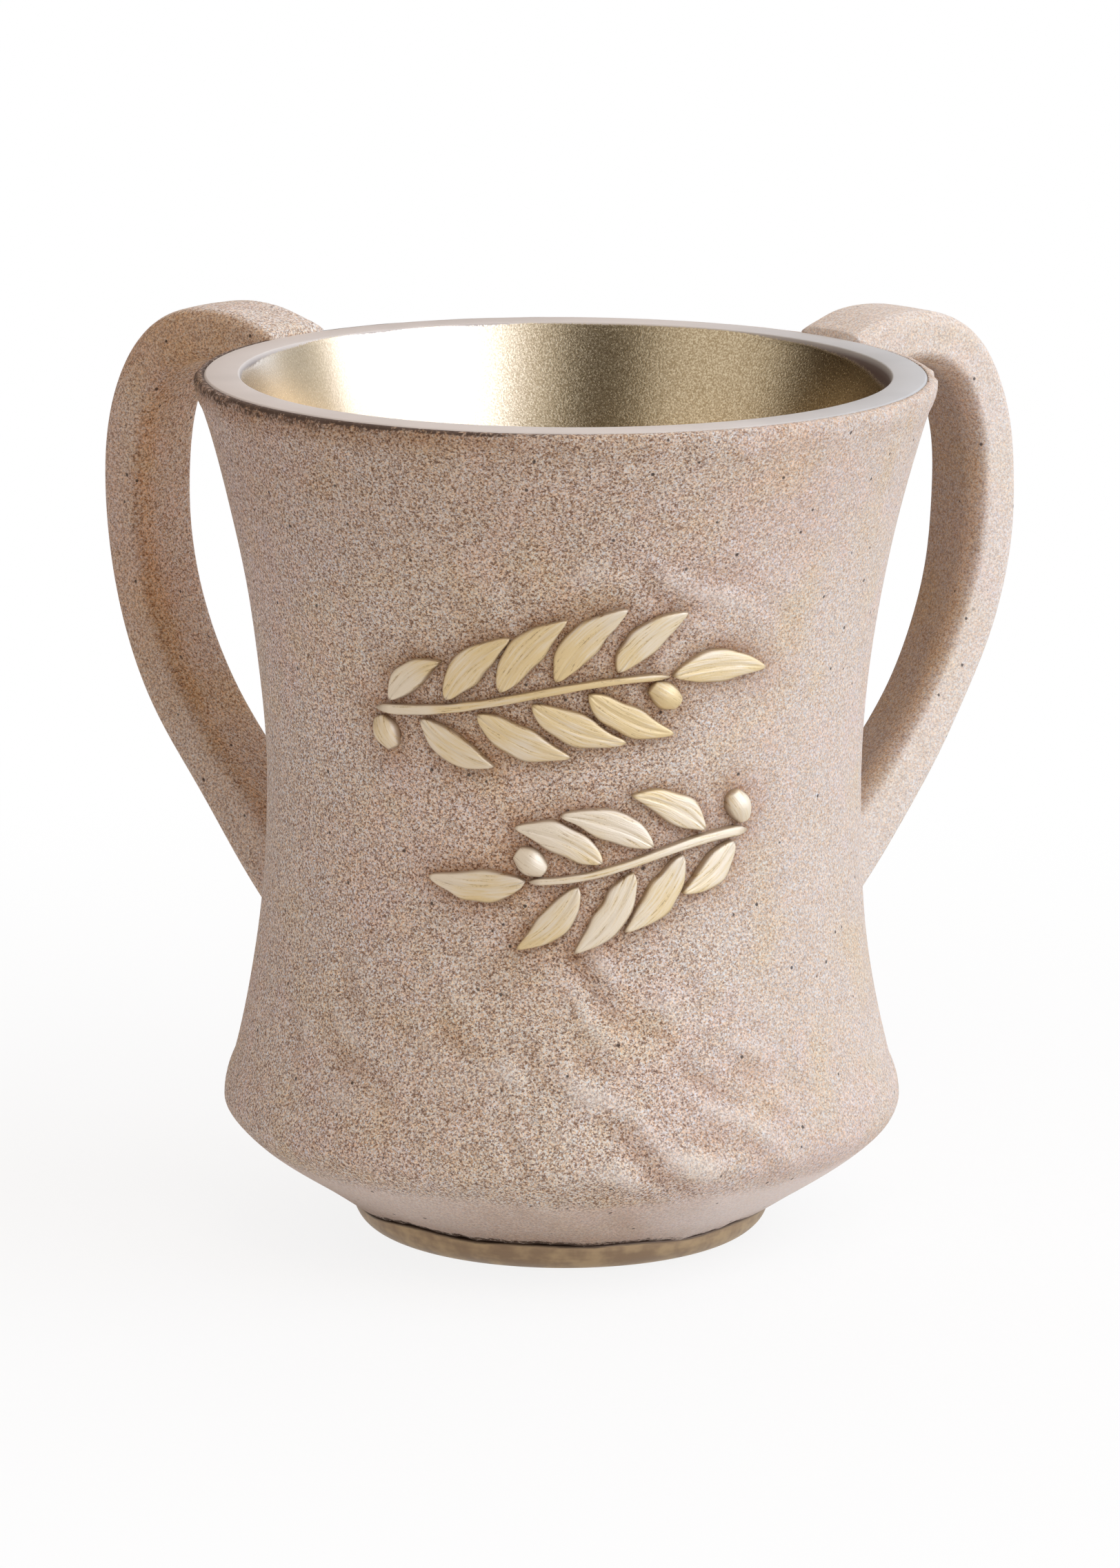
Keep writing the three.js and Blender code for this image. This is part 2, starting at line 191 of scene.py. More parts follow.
# A colour as it shows on a screen, 0 to 255, in the values that a shader takes
def tone(red, green, blue):
    shown = np.array([red, green, blue]) / 255
    light = np.where(shown > 0.04045, ((shown + 0.055) / 1.055) ** 2.4, shown / 12.92)
    return (*light.tolist(), 1.0)


# A node's output that takes part in Python sums. Each sum adds a Math node.
class Flow:
    def __init__(self, finish, socket):
        self.finish, self.socket = finish, socket

    def __add__(self, other):
        return self.finish.sum("ADD", self, other)

    def __sub__(self, other):
        return self.finish.sum("SUBTRACT", self, other)

    def __mul__(self, other):
        return self.finish.sum("MULTIPLY", self, other)

    def __rsub__(self, other):
        return self.finish.sum("SUBTRACT", other, self)

    __radd__, __rmul__ = __add__, __mul__


# Nodes of a material, or of the world
class Finish:
    def __init__(self, name, world=None):
        self.material = world or bpy.data.materials.new(name)
        self.material.use_nodes = True
        self.tree = self.material.node_tree
        self.tree.nodes.clear()

    # any node, by its settings and the values or links of its sockets
    def node(self, kind, settings=None, values=None, output=0):
        made = self.tree.nodes.new("ShaderNode" + kind)
        for label, setting in (settings or {}).items():
            if label == "stops":
                ramp = made.color_ramp
                for place, colour in setting[1:-1]:
                    ramp.elements.new(place)
                for element, (place, colour) in zip(ramp.elements, setting):
                    element.position, element.color = place, colour
            else:
                setattr(made, label, setting)
        for label, value in (values or {}).items():
            if isinstance(value, Flow):
                self.tree.links.new(value.socket, made.inputs[label])
            else:
                made.inputs[label].default_value = value
        return Flow(self, made.outputs[output]) if made.outputs else None

    def sum(self, operation, *values):
        return self.node("Math", {"operation": operation}, dict(enumerate(values)))

    # 0 at low, 1 at high and a soft step between them
    def step(self, value, low, high):
        span = {"Value": value, "From Min": low, "From Max": high}
        return self.node("MapRange", {"interpolation_type": "SMOOTHSTEP"}, span)

    def mix(self, factor, first, second, blend="MIX"):
        settings = {"data_type": "RGBA", "blend_type": blend}
        return self.node("Mix", settings, {0: factor, 6: first, 7: second}, output=2)

    def place(self):
        return self.node("TexCoord", output=3)

    def mask(self, label):
        return self.node("Attribute", {"attribute_name": label}, output=2)

    def noise(self, scale, detail, vector, roughness=0.5):
        values = {"Vector": vector, "Scale": scale, "Detail": detail, "Roughness": roughness}
        return self.node("TexNoise", {}, values)

    def bump(self, height, depth):
        return self.node("Bump", {}, {"Height": height, "Strength": 1, "Distance": depth})

    # 1 for a ray that comes from the camera or through or off a shiny surface
    def seen(self):
        labels = ("Is Camera Ray", "Is Glossy Ray", "Is Transmission Ray")
        rays = [self.node("LightPath", output=label) for label in labels]
        return self.sum("MAXIMUM", self.sum("MAXIMUM", rays[0], rays[1]), rays[2])

    def surface(self, values):
        shader = self.node("BsdfPrincipled", {}, values)
        self.node("OutputMaterial", {}, {"Surface": shader})
        return self.material


# Camera and light

view = {
    "eye": (-0.01557, -1.18913, 0.32984), "target": (-0.00054, 0, 0.07104), "roll": 0.0054,
    "lens": 177.81,
}
camera = added("camera", bpy.data.cameras.new("camera"))
camera.data.lens = view["lens"]
camera.data.sensor_width = 36
camera.data.clip_start, camera.data.clip_end = 0.05, 20
aim = (Vector(view["target"]) - Vector(view["eye"])).to_track_quat("-Z", "Y")
camera.matrix_world = (
    Matrix.Translation(view["eye"]) @ aim.to_matrix().to_4x4() @ Matrix.Rotation(view["roll"], 4, "Z")
)
bpy.context.scene.camera = camera

# Levels are shares of the light at which white shows white, and azimuths degrees to the right of the front.
# Shiny surfaces see the cards below instead of the lamps.
lampAim = Vector((0, 0, 0.07))
lamps = {
    "key": {"azimuth": 76, "elevation": 32, "distance": 1.3, "size": (1.1, 1.1), "level": 0.6,
            "colour": (0.86, 1.02, 1.19)},
    "front": {"azimuth": 20, "elevation": 50, "distance": 1.4, "size": (0.7, 0.8), "level": 0.19,
              "colour": (1.04, 0.97, 0.88)},
    "top": {"azimuth": 150, "elevation": 75, "distance": 1.3, "size": (0.9, 0.9), "level": 0.22,
            "colour": (1, 0.99, 0.98)},
}


# The turn that faces the cup from an azimuth and elevation, and the direction there
def lookingIn(azimuth, elevation):
    across, rise = math.radians(azimuth), math.radians(elevation)
    toward = Vector((math.sin(across) * math.cos(rise), -math.cos(across) * math.cos(rise), math.sin(rise)))
    return toward.to_track_quat("Z", "Y").to_matrix(), toward


for name, lamp in lamps.items():
    facing, toward = lookingIn(lamp["azimuth"], lamp["elevation"])
    data = bpy.data.lights.new(name, "AREA")
    data.shape = "RECTANGLE"
    data.size, data.size_y = lamp["size"]
    data.color = lamp["colour"]
    data.energy = lamp["level"] * (math.pi * lamp["distance"]) ** 2
    light = added(name, data)
    light.visible_glossy = False
    light.matrix_world = Matrix.Translation(lampAim + toward * lamp["distance"]) @ facing.to_4x4()

around = {"ambient": (0.422, 0.35, 0.315, 1), "white": (1, 1, 1, 1)}
world = bpy.data.worlds.new("studio")
bpy.context.scene.world = world
studio = Finish("studio", world)
sky = studio.node("Background", {}, {
    "Color": studio.mix(studio.seen(), around["ambient"], around["white"]), "Strength": 1.0})
studio.node("OutputWorld", {}, {"Surface": sky})

square = ((-1, -1), (1, -1), (1, 1), (-1, 1))


# A flat sheet round the cup, in metres
def sheetOf(name, corners, finish):
    mesh = bpy.data.meshes.new(name)
    mesh.from_pydata(corners, [], [(0, 1, 2, 3)])
    mesh.materials.append(finish.material)
    sheet = added(name, mesh)
    return sheet


# The floor near the cup takes its shadow. Further out it is as white as the world behind it.
floorSize = {"half": 3.0, "drop": 0.0001, "shadowTo": 0.34, "whiteFrom": 0.08, "lift": 0.86}
floorFinish = Finish("paleFloor")
spot = floorFinish.node("VectorMath", {"operation": "LENGTH"}, {0: floorFinish.place()}, output=1)
outer = floorFinish.step(spot, floorSize["whiteFrom"], floorSize["shadowTo"])
lift = floorFinish.seen() * (floorSize["lift"] + (1 - floorSize["lift"]) * outer)
matt = floorFinish.node("BsdfDiffuse", {}, {"Color": (0.9, 0.9, 0.9, 1)})
white = floorFinish.node("Emission", {}, {"Color": around["white"], "Strength": 1.0})
floorFinish.node("OutputMaterial", {}, {
    "Surface": floorFinish.node("MixShader", {}, {0: lift, 1: matt, 2: white})})
half = floorSize["half"]
sheetOf("floor", [(x * half, y * half, -floorSize["drop"]) for x, y in square], floorFinish)

# Cards that only shiny surfaces see, for the dark and bright bands in the gold
cardPlaces = {"aim": (0, 0, 0.12), "elevation": 22, "distance": 1.0}
cards = {
    "frontCard": {"azimuth": -16, "size": (0.56, 0.9), "glow": (0.07, 0.055, 0.035)},
    "leftCard": {"azimuth": -62, "size": (0.8, 1.0), "glow": (0.9, 0.89, 0.88)},
    "backCard": {"azimuth": -140, "size": (2.1, 1.1), "glow": (0.05, 0.035, 0.02)},
    "sideCard": {"azimuth": 142, "size": (0.44, 0.8), "glow": (1.35, 1.55, 2.1)},
    "gapCard": {"azimuth": 116, "size": (0.3, 0.8), "glow": (0.68, 0.72, 0.8)},
    "rightCard": {"azimuth": 61, "size": (1.36, 0.8), "glow": (3.3, 3.7, 4.9)},
}
for name, card in cards.items():
    wide, high = card["size"]
    cardFinish = Finish(name)
    glow = cardFinish.node("Emission", {}, {"Color": (*card["glow"], 1), "Strength": 1.0})
    cardFinish.node("OutputMaterial", {}, {"Surface": glow})
    facing, toward = lookingIn(card["azimuth"], cardPlaces["elevation"])
    middle = Vector(cardPlaces["aim"]) + toward * cardPlaces["distance"]
    corners = [tuple(middle + facing @ Vector((x * wide / 2, y * high / 2, 0))) for x, y in square]
    sheet = sheetOf(name, corners, cardFinish)
    sheet.visible_camera = sheet.visible_diffuse = sheet.visible_shadow = False
bpy.context.scene.view_settings.view_transform = "Standard"
print("camera, lamps, floor and cards placed")


# Finishes

# The first eight are details to a metre, and the grain shares those of grains, fine grains and grit.
stoneLook = {
    "grains": 4700, "fineGrains": 6000, "grit": 2400, "crumbs": 1400, "speckSpacing": 300, "mottle": 210,
    "patches": 75, "clouds": 28, "grainShares": (0.85, 0.4, 1.6), "mottleShare": 0.12, "middleTone": 0.52,
    "tanShare": 0.65, "mauveShare": 0.45, "underShare": 0.42, "speckShare": 0.6, "speckSize": 0.085,
    "depth": 0.000045,
    "palette": [
        (0.0, tone(138, 113, 98)), (0.25, tone(188, 165, 149)), (0.5, tone(222, 208, 197)),
        (0.75, tone(245, 237, 228)), (1.0, tone(255, 255, 255)),
    ],
    "warmGrain": tone(255, 237, 213), "coolGrain": tone(234, 243, 255), "mauve": (1.02, 0.92, 0.97, 1),
    "tan": (1.02, 0.96, 0.78, 1), "spray": tone(208, 185, 162), "shade": tone(190, 180, 174),
    "chalk": tone(248, 240, 232), "speck": tone(50, 38, 34), "grime": tone(84, 66, 54),
    "underFrom": 0.0168, "underTo": 0.0148, "under": tone(245, 229, 223),
}


# Cells, fine grains, grit and mottle add up to a place on the palette. Only mottle is left where it is calm.
def grainColour(stone, look, place, cells, fine, mottle):
    cell = stone.node("SeparateColor", {}, {0: cells})
    hue = stone.node("SeparateColor", {}, {0: cells}, output=1)
    grit = stone.noise(look["grit"], 1, place)
    share = look["grainShares"]
    grain = (cell - 0.5) * share[0] + (fine - 0.5) * share[1] + (grit - 0.5) * share[2]
    grain = grain * (1 - stone.mask("calm")) + (mottle - 0.5) * look["mottleShare"] + look["middleTone"]
    colour = stone.node("ValToRGB", {"stops": look["palette"]}, {0: grain})
    return stone.mix(1.0, colour, stone.mix(hue, look["warmGrain"], look["coolGrain"]), "MULTIPLY"), cell


# 1 in rare dark specks: small discs round the points of a scatter, a share of them left out
def darkSpecks(stone, look, place, fine):
    scatter = {"Vector": place, "Scale": look["speckSpacing"]}
    spots = stone.node("TexVoronoi", {}, scatter, output="Distance")
    colours = stone.node("TexVoronoi", {}, scatter, output="Color")
    lot = stone.node("SeparateColor", {}, {0: colours}, output=1)
    size = look["speckSize"] * (0.5 + fine)
    kept = stone.step(lot, look["speckShare"], look["speckShare"] - 0.01)
    return stone.step(spots, size * 1.25, size * 0.75) * kept


# Speckled stone: layers of colour over the grains, from soft patches up to the grime, which is dirt and
# painted shade
def stoneFinish(name, look):
    stone = Finish(name)
    place = stone.place()
    cells = stone.node("TexVoronoi", {}, {"Vector": place, "Scale": look["grains"]}, output="Color")
    fine = stone.noise(look["fineGrains"], 2, place, 0.7)
    mottle = stone.noise(look["mottle"], 3, place, 0.6)
    patches = stone.noise(look["patches"], 2, place, 0.6)
    clouds = stone.noise(look["clouds"], 2, place)
    pinkish = stone.step(clouds + (mottle - 0.5) * 0.9, 0.4, 0.75)
    height = stone.node("SeparateXYZ", {}, {0: place}, output=2) + (patches - 0.5) * 0.003
    below = stone.step(height, look["underFrom"], look["underTo"])
    specks = darkSpecks(stone, look, place, fine)
    crumbs = (stone.noise(look["crumbs"], 3, place, 0.7) - 0.5) * 3
    colour, cell = grainColour(stone, look, place, cells, fine, mottle)
    for share, label, blend in (
        (stone.step(patches, 0.46, 0.8) * look["tanShare"], "tan", "MULTIPLY"),
        (pinkish * look["mauveShare"], "mauve", "MULTIPLY"),
        # a smoother tone below the crease, made paler as painted bounce light from the floor
        (below * look["underShare"], "under", "MIX"),
        (stone.mask("warm") * (0.4 + clouds), "tan", "MULTIPLY"),
        # painted light
        (stone.mask("chalk"), "chalk", "MIX"),
        (stone.mask("airbrush") * (0.7 + patches * 0.6), "spray", "MULTIPLY"),
        # painted shade
        (stone.mask("shade"), "shade", "MULTIPLY"),
        (specks * 0.85, "speck", "MIX"),
        # dirt, and painted shade at stroke edges, handle roots and the seam
        (stone.step(stone.mask("grime") * (1 + crumbs), 0.3, 0.75), "grime", "MIX"),
    ):
        colour = stone.mix(share, colour, look[label], blend)
    return stone.surface({
        "Base Color": colour, "Roughness": 0.82 + (fine - 0.5) * 0.2, "Specular IOR Level": 0.3,
        "Normal": stone.bump(cell + fine * 1.5 - specks, look["depth"]),
    })


linerLook = {
    "rim": tone(217, 208, 201), "rimPatch": tone(209, 200, 193), "gold": tone(224, 206, 174),
    # bare is the grey inside the wall, darkened as painted shade
    "goldDeep": tone(168, 146, 112), "bare": tone(100, 84, 78), "shade": tone(230, 238, 244),
    "flakes": 3200, "patches": 60, "depth": 0.000045,
}


# Smooth grey rim, then sprayed metallic gold with a grainy edge where the gold mask rises
def linerFinish(name, look):
    liner = Finish(name)
    place = liner.place()
    flakes = liner.noise(look["flakes"], 2, place, 0.7)
    patches = liner.noise(look["patches"], 2, place)
    grey = liner.mix(liner.step(patches, 0.4, 0.7), look["rim"], look["rimPatch"])
    # painted shade on the right of the rim
    grey = liner.mix(liner.mask("shade"), grey, look["shade"], "MULTIPLY")
    # inside the wall the unsprayed grey is darkened to a painted shade
    grey = liner.mix(liner.mask("inside"), grey, look["bare"])
    flat = liner.mask("calm")
    flaky = liner.step(flakes, 0.35, 0.7) * (1 - flat) + flat * 0.5
    gold = liner.mix(flaky, look["goldDeep"], look["gold"])
    spray = liner.step(liner.mask("gold") + (flakes - 0.5) * 0.8, 0.35, 0.65)
    return liner.surface({
        "Base Color": liner.mix(spray, grey, gold), "Metallic": spray, "Specular IOR Level": 0.2,
        "Roughness": 0.62 - spray * 0.36 + (flakes - 0.5) * 0.08,
        "Normal": liner.bump(flakes * spray * (1 - flat), look["depth"]),
    })


footLook = {
    "gold": tone(184, 158, 122), "worn": tone(150, 125, 98), "dark": tone(80, 62, 48),
    "streaks": 700, "patches": 240, "depth": 0.00006,
}


# Dull gold paint in streaks that run round the ring, worn through to brown in patches, and darker along the
# top by the seam: a dark joint with painted shade
def footFinish(name, look):
    foot = Finish(name)
    place = foot.place()
    flat = foot.node("Mapping", {}, {"Vector": place, "Scale": (0.16, 0.16, 1)})
    streaks = foot.noise(look["streaks"], 3, flat, 0.6)
    patches = foot.noise(look["patches"], 3, place, 0.6)
    colour = foot.mix(foot.step(streaks * 0.6 + patches, 0.62, 0.98), look["worn"], look["gold"])
    grime = foot.step(foot.mask("grime") + (patches - 0.5) * 1.2, 0.2, 0.9)
    return foot.surface({
        "Base Color": foot.mix(grime * 0.9, colour, look["dark"]), "Metallic": 0.45,
        "Roughness": 0.5 + (streaks - 0.5) * 0.3, "Normal": foot.bump(streaks, look["depth"]),
    })


padLook = {"felt": tone(74, 64, 58), "fluff": tone(96, 86, 78), "fibres": 2400, "depth": 0.00012}


def padFinish(name, look):
    pad = Finish(name)
    fibres = pad.noise(look["fibres"], 4, pad.place(), 0.75)
    return pad.surface({
        "Base Color": pad.mix(pad.step(fibres, 0.35, 0.7), look["felt"], look["fluff"]),
        "Roughness": 0.95, "Normal": pad.bump(fibres, look["depth"]),
    })


reliefLook = {
    "cream": tone(230, 216, 192), "butter": tone(224, 200, 150), "bare": tone(142, 112, 84),
    "streaksAlong": 1.6, "streaksAcross": 26, "patches": 55, "grains": 2600, "depth": 0.00016,
}


# Pale gold paint brushed along each stroke, buttery in places, thin over the edges
def reliefFinish(name, look):
    relief = Finish(name)
    place = relief.place()
    stroke = relief.node("UVMap", {"uv_map": "stroke"})
    brushed = relief.node("Mapping", {}, {
        "Vector": stroke, "Scale": (look["streaksAlong"], look["streaksAcross"], 1)})
    streaks = relief.noise(1.0, 4, brushed, 0.65)
    patches = relief.noise(look["patches"], 2, place)
    fine = relief.noise(look["grains"], 2, place, 0.7)
    creamy = relief.step(patches + (streaks - 0.5) * 0.9, 0.36, 0.66)
    paint = relief.mix(creamy, look["butter"], look["cream"])
    thin = relief.mask("edge") * 0.6 + relief.step(streaks + (fine - 0.5) * 0.3, 0.42, 0.3) * 0.6
    return relief.surface({
        "Base Color": relief.mix(thin, paint, look["bare"]), "Metallic": 0.28,
        "Roughness": 0.5 + (streaks - 0.5) * 0.3,
        "Normal": relief.bump(streaks * 0.8 + fine * 0.2, look["depth"]),
    })


finishes = {
    "stone": stoneFinish("speckledStone", stoneLook),
    "handle": stoneFinish("handleStone", {**stoneLook, "spray": tone(240, 217, 187), "underShare": 0}),
    "liner": linerFinish("goldLiner", linerLook),
    "foot": footFinish("wornGold", footLook),
    "pad": padFinish("feltPad", padLook),
    "relief": reliefFinish("brushedGold", reliefLook),
}
print("finishes made:", ", ".join(finishes))


# Strokes of the relief, on the front wall as if it were unrolled: (across to the right, height)

# Lengths in mm, spreads in degrees, and each leaf's share of the full length
sprigs = {
    "leafLength": 15.0, "leafWidth": 5.1, "leafGap": 0.8, "leafCurl": 1.1, "leafSpread": 37, "leafEnd": 0.1,
    "leafBellyPower": 0.85, "leafHeight": 1.0, "stemWidth": 1.6, "stemTaper": 0.4, "clearOfStem": 0.6,
    "oliveLength": 5.4, "oliveWidth": 4.2, "oliveHeight": 1.8, "oliveSpread": 62, "oliveEnd": 0.45,
    "wave": 3.2, "bend": 0.4, "middle": 82.0, "rise": 12.68, "standOff": 0.3, "bury": 0.45,
    "upper": {"place": 0.0, "way": 1, "leaves": (0.72, 0.86, 0.94, 1, 1, 1, 1, 0.96, 0.88)},
    "lower": {"place": 4.0, "way": -1, "leaves": (0.75, 0.88, 0.97, 1, 1, 0.95, 0.88)},
}


def turn(way, degrees):
    c, s = math.cos(math.radians(degrees)), math.sin(math.radians(degrees))
    return np.array([c * way[0] - s * way[1], s * way[0] + c * way[1]])


# Direction of a Bezier line at t, from two points beside it
def heading(pulls, t):
    t = np.asarray(t, float)
    way = bezier(np.minimum(t + 0.001, 1), *pulls) - bezier(np.maximum(t - 0.001, 0), *pulls)
    return way / np.linalg.norm(way, axis=-1, keepdims=True)


# Control points of a blade: its start, a pull to its left by twice its curl, and its end
def bladeLine(start, way, length, curl):
    middle = start + way * length / 2 + 2 * curl * np.array([-way[1], way[0]])
    return (start, middle, start + way * length)


# Control points of a blade that stands off one side of its stem
def sideBlade(stem, t, side, spread, length, curl):
    way = heading(stem, t)
    outward = side * np.array([-way[1], way[0]])
    start = bezier(t, *stem) + outward * (sprigs["stemWidth"] / 2 + sprigs["clearOfStem"])
    return bladeLine(start, turn(way, side * spread), length, side * curl)


# Name, kind, control points and share of the full length of each stroke of one sprig
def sprigStrokes(name, sprig, height):
    leaves, way = sprig["leaves"], sprig["way"]
    pitch = (sprigs["leafWidth"] + sprigs["leafGap"]) / math.sin(math.radians(sprigs["leafSpread"]))
    span, middle = pitch * len(leaves) / 2, sprig["place"] - way * sprigs["leafLength"] / 2
    stem = tuple(
        np.array([middle + way * span * (share - 0.5), height + way * sprigs["wave"] * sign])
        for share, sign in ((0, -1), (sprigs["bend"], -1), (1 - sprigs["bend"], 1), (1, 1))
    )
    gap = 1 / (len(leaves) + 1)
    yield f"{name}_stem", "stem", stem, 1
    olive = sideBlade(stem, 0, -1, sprigs["oliveSpread"], sprigs["oliveLength"], 0)
    yield f"{name}_olive_1", "olive", olive, 1
    for i, share in enumerate(leaves):
        side, length = -1 if i % 2 else 1, sprigs["leafLength"] * share
        line = sideBlade(stem, (i + 0.5) * gap, side, sprigs["leafSpread"], length, sprigs["leafCurl"])
        yield f"{name}_leaf_{i + 1}", "leaf", line, share
    last = -1 if len(leaves) % 2 else 1
    tip = sideBlade(stem, 1 - gap / 2, last, sprigs["leafSpread"], sprigs["oliveLength"], 0)
    yield f"{name}_olive_2", "olive", tip, 1
    way = heading(stem, 1)
    start = bezier(1, *stem) + way * sprigs["clearOfStem"]
    yield f"{name}_tip_leaf", "leaf", bladeLine(start, way, sprigs["leafLength"], sprigs["leafCurl"]), 1


strokes = [
    *sprigStrokes("upper_sprig", sprigs["upper"], sprigs["middle"] + sprigs["rise"]),
    *sprigStrokes("lower_sprig", sprigs["lower"], sprigs["middle"] - sprigs["rise"]),
]


# Half width at each share s of the length: a stem tapers evenly, leaf and olive swell as half a sine wave.
def strokeWidth(kind, s, share):
    if kind == "stem":
        return sprigs["stemWidth"] / 2 * (1 - sprigs["stemTaper"] * s)
    if kind == "leaf":
        swell = np.sin(math.pi * np.clip(s, 0, 1) ** sprigs["leafBellyPower"])
        return sprigs["leafWidth"] / 2 * math.sqrt(share) * (swell + (1 - swell) * sprigs["leafEnd"])
    swell = np.sin(math.pi * s)
    return sprigs["oliveWidth"] / 2 * (swell + (1 - swell) * sprigs["oliveEnd"])


# Distance in mm from each place to the nearest stroke's edge: that to its centre line less its half width
def strokeDistance(across, height):
    t = np.linspace(0, 1, 15)
    lines = np.concatenate([bezier(t, *line) for _, _, line, _ in strokes])
    halves = np.concatenate([strokeWidth(kind, t, share) for _, kind, _, share in strokes])
    places = np.stack([across.ravel(), height.ravel()], 1)
    parts = np.array_split(places[:, None], 12)
    near = [(np.linalg.norm(part - lines, axis=-1) - halves).min(1) for part in parts]
    return np.concatenate(near).reshape(across.shape)


# Shell

# Lengths in mm. Each ripple patch has its place across, height, spread and strength.
shellShape = {
    "turns": 400, "frontShare": 0.6, "frontHalf": 54, "spigotRadius": 23.8, "floor": 1.6, "wall": 5.6,
    "ledgeDrop": 1.9, "wellCorner": 15.9, "lumpLength": 19, "lumpHeight": 0.07, "lipWave": 0.14,
    "seamWave": 0.45, "seamCrumbs": 0.09, "rippleLength": 8.5, "rippleHeight": 0.48, "rippleSlant": 0.8,
    "rippleBend": 2.2,
    "ripplePatches": (
        (22, 38, 15, 0.9), (6, 22, 13, 1.0), (24, 24, 10, 0.8), (22, 104, 12, 1.0), (2, 112, 11, 0.7),
        (-36, 38, 12, 0.8), (6, 52, 14, 0.6), (-14, 40, 15, 0.6), (-24, 102, 12, 0.5),
    ),
}
# How strongly the shell's marks show, 0 to 1, and the width of the spray round the strokes in mm
shellMarks = {
    "halo": 0.8, "haloWidth": 2.4, "upperSpray": 0.2, "lipSpray": 0.55, "hollowSpray": 0.35,
    "upperShade": 0.2, "bowlShade": 0.3, "strokeEdgeShade": 0.3, "leftLipDark": 0.42, "seamGrimeAndShade": 0.85,
    "warmth": 0.35, "chalk": 0.4, "calmRight": 0.58, "calmBowl": 0.35,
}


# Angles round the cup, with a share of them close together about the front
def turnAngles(count, share, half):
    front = np.linspace(-half, half, int(count * share), endpoint=False)
    back = np.linspace(half, 360 - half, count - len(front), endpoint=False)
    return np.radians(np.concatenate([front, back]) - 90)


angles = turnAngles(shellShape["turns"], shellShape["frontShare"], shellShape["frontHalf"])
outside = shellOutside()


def neckCircle(angles):
    return turned(np.array([[cup["neckRadius"], 0]]), angles)[0]


# Rise and fall of the seam between the shell and the foot ring at each angle
def seamWave(angles):
    return unevenness(neckCircle(angles), 15, 5, 12) * shellShape["seamWave"] / 2


# The neck's own small rise and fall, which makes the seam's gap wider and narrower
def seamGap(angles):
    crumbs = unevenness(neckCircle(angles), 3.5, 17, 16) * shellShape["seamCrumbs"]
    return crumbs - 0.1 * smooth(0, 0.6, np.cos(angles))


# The rest of the shell's closed outline: spigot and neck below, ledge, bore and well within
def shellInside():
    shape, rim, neck = shellShape, cup["rimRadius"] + 0.06, cup["neckHeight"]
    spigot, ledge = shape["spigotRadius"], cup["rimHeight"] - shape["ledgeDrop"]
    below = eased([(0, shape["floor"]), (spigot, shape["floor"]), (spigot, neck + 0.6),
                   (outside[0, 0] - 0.3, neck + 0.05), outside[0]], 0.1)[1:-1]
    groove = eased([outside[-1], (rim, outside[-1, 1]), (rim, ledge), (50.5, ledge)], 0.03)[1:]
    depths = np.linspace(ledge, cup["waistHeight"], 12)[1:]
    bore = np.stack([wallRadius(depths) - shape["wall"], depths], 1)
    angle, corner = np.linspace(0, math.pi / 2, 6), shape["wellCorner"]
    well = np.stack([25.2 + corner * np.cos(angle), 26.5 - corner * np.sin(angle)], 1)
    return below, np.vstack([groove, bore, well])


# Slanting ripples: the sine of the place along a slant, bent by an unevenness and to the power 0.8, times
# exp(-(distance / spread)^2) about each patch.
def ripples(wall, across, height):
    shape = shellShape
    patch = sum(
        strength * np.exp(-((across - x) ** 2 + (height - h) ** 2) / spread**2)
        for x, h, spread, strength in shape["ripplePatches"]
    )
    slanting = (across * shape["rippleSlant"] + height) / 1.3
    bend = unevenness(wall, 22, 3) * shape["rippleBend"]
    crest = np.sin(2 * math.pi * (slanting + bend) / shape["rippleLength"])
    return (np.abs(crest) ** 0.8 * np.sign(crest) * (0.6 + 0.5 * unevenness(wall, 12, 4))) * patch


# Moves the outside along its normal by lumps and ripples, and by crumbs at the lip.
def roughen(wall, height, crest):
    shape, neck, top = shellShape, cup["neckHeight"], cup["rimHeight"]
    slope = np.gradient(outside, axis=0)
    slope /= np.linalg.norm(slope, axis=1, keepdims=True)
    normal = turned(np.stack([slope[:, 1], -slope[:, 0]], 1), angles)
    hold = smooth(neck, neck + 6, height) * smooth(top - 2, top - 9, height)
    lump = unevenness(wall, shape["lumpLength"], 1) * shape["lumpHeight"] - 0.1
    lip = smooth(top - 9, top - 4, height) * smooth(top - 0.1, top - 0.6, height)
    crumbs = unevenness(wall, 5, 6) + 0.5 * unevenness(wall, 1.6, 9) * smooth(top - 2.4, top - 0.8, height)
    wall += normal * (lip * (crumbs - 0.6) * shape["lipWave"])[..., None]
    wall += normal * (hold * (lump + crest * shape["rippleHeight"]))[..., None]


# 1 on the left of the cup and 0 on its right, for angles from the front
def leftShare(front):
    return smooth(0.5, -0.6, np.sin(front))


